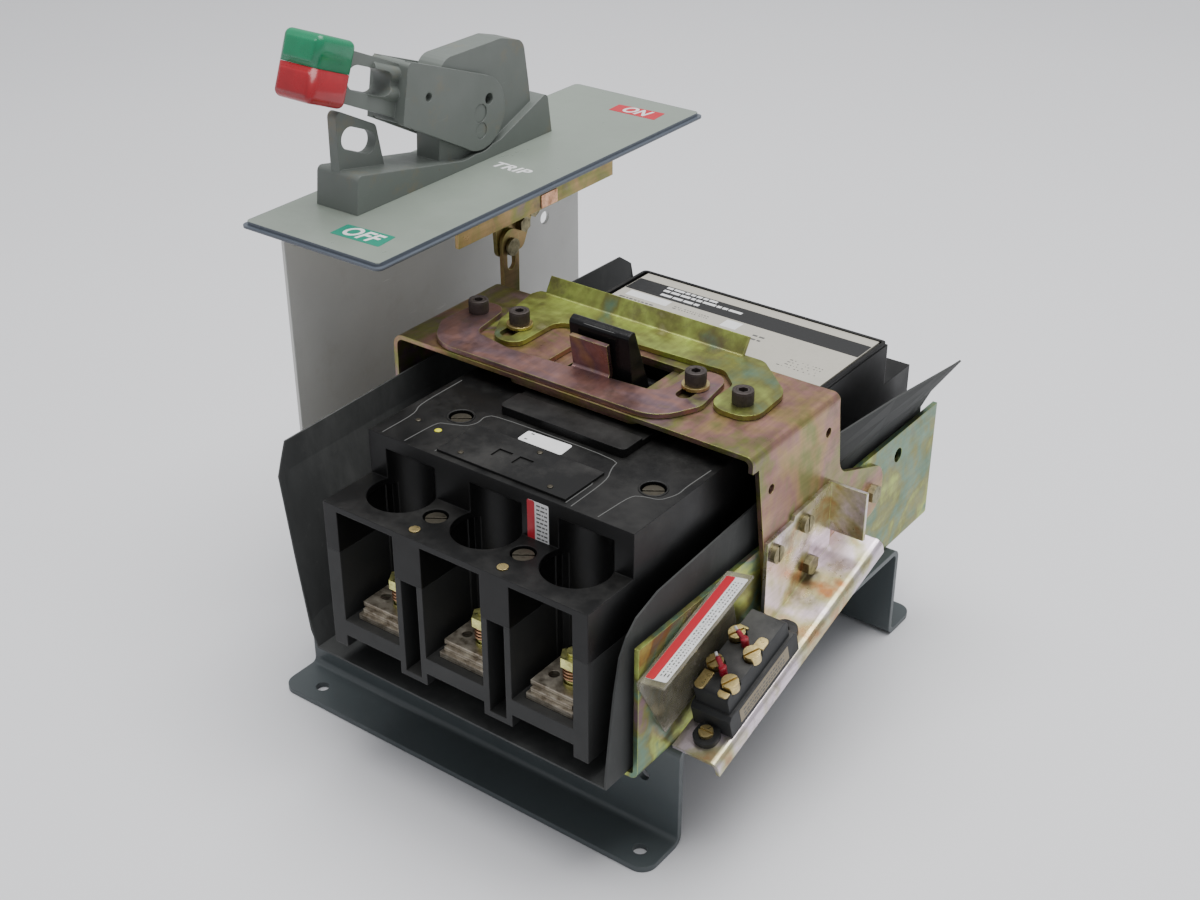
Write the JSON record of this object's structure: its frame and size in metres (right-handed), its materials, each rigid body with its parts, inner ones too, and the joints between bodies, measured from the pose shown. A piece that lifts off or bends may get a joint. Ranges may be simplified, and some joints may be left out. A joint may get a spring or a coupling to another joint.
{
  "type": "moulded-case circuit breaker unit with flange handle operator",
  "caption": "Moulded-case breaker on a hat-section pan, with an operating bridge that slides its toggle, a flange handle operator beside it and an auxiliary switch.",
  "frame": {"origin": "centre of the pan's four mounting holes, on the face that rests on the panel", "axes": "+Z away from the mounting panel; the poles' line terminals face -Y; +X across the poles, the handle operator on the -X side"},
  "size_m": [0.3161, 0.355, 0.3307],
  "materials": {
    "pan_paint": "semi-gloss",
    "fishpaper": "matt",
    "zinc": "yellow passivated",
    "bright_zinc": "satin",
    "moulding_base": "satin",
    "moulding_cover": "satin",
    "toggle_plastic": "gloss",
    "label_foil": "satin",
    "tinned_copper": "tarnished",
    "bolt_zinc": "yellow passivated",
    "brass": "satin",
    "black_oxide": "satin",
    "white_paint": "satin",
    "face_enamel": "satin",
    "casting_paint": "semi-gloss",
    "knob_green": "gloss",
    "knob_red": "gloss",
    "switch_bakelite": "satin",
    "lead_red": "satin",
    "clear_cover": "smoky clear"
  },
  "bodies": {
    "base": {"base_pan": "pan_paint", "insulating_barrier": "fishpaper", "pan_side_plate": "zinc", "case_spacers": "bright_zinc", "case_base": "moulding_base", "case_cover": "moulding_cover", "escutcheon": "moulding_cover", "access_panel": "moulding_cover", "label_plate": "label_foil", "line_terminals": "tinned_copper", "line_terminal_bolts": "bolt_zinc", "load_terminals": "tinned_copper", "load_terminal_bolts": "bolt_zinc", "cover_screws": "bright_zinc", "ledge_inserts": "brass", "bridge_bracket": "zinc", "bridge_screws": "zinc", "guide_bolts": "black_oxide", "guide_washers": "brass", "handle_side_plate": "white_paint", "faceplate": "face_enamel", "handle_base": "casting_paint", "pivot_pin": "casting_paint", "mechanism_frame": "zinc", "frame_bolts": "zinc", "switch_bracket": "zinc", "bracket_screws": "zinc", "switch_body": "switch_bakelite", "switch_screws": "brass", "switch_clips": "brass", "switch_leads": "lead_red", "switch_cover": "clear_cover"},
    "handle": {"handle_lever": "casting_paint", "knob_top": "knob_green", "knob_bottom": "knob_red", "lever_rivet": "casting_paint"},
    "slide": {"front_slide_plate": "zinc", "rear_slide_plate": "zinc", "slide_bolts": "black_oxide", "slide_carriage": "zinc"},
    "toggle": {"toggle_handle": "toggle_plastic"},
    "link": {"drive_link": "zinc"}
  },
  "joints": [
    {"name": "handle_swing", "type": "hinge", "parent": "base", "child": "handle", "pos_m": [-0.1478, 0.0622, 0.262], "axis": [-1, 0, 0], "range_deg": [0, 130]},
    {"name": "bridge_slide", "type": "slide", "parent": "base", "child": "slide", "axis": [0, 1, 0], "range_m": [0, 0.009]},
    {"name": "toggle_swing", "type": "hinge", "parent": "base", "child": "toggle", "pos_m": [0.01095, -0.0099, 0.145], "axis": [-1, 0, 0], "range_deg": [0, 11.33]},
    {"name": "link_slide", "type": "slide", "parent": "base", "child": "link", "axis": [0, 0, 1], "range_m": [0, 0.01]}
  ],
  "couplings": [
    {"joint": "bridge_slide", "follows": "handle_swing", "m_per_rad": 0.0039666},
    {"joint": "toggle_swing", "follows": "handle_swing", "ratio": 0.087179},
    {"joint": "link_slide", "follows": "handle_swing", "m_per_rad": 0.0044074}
  ]
}
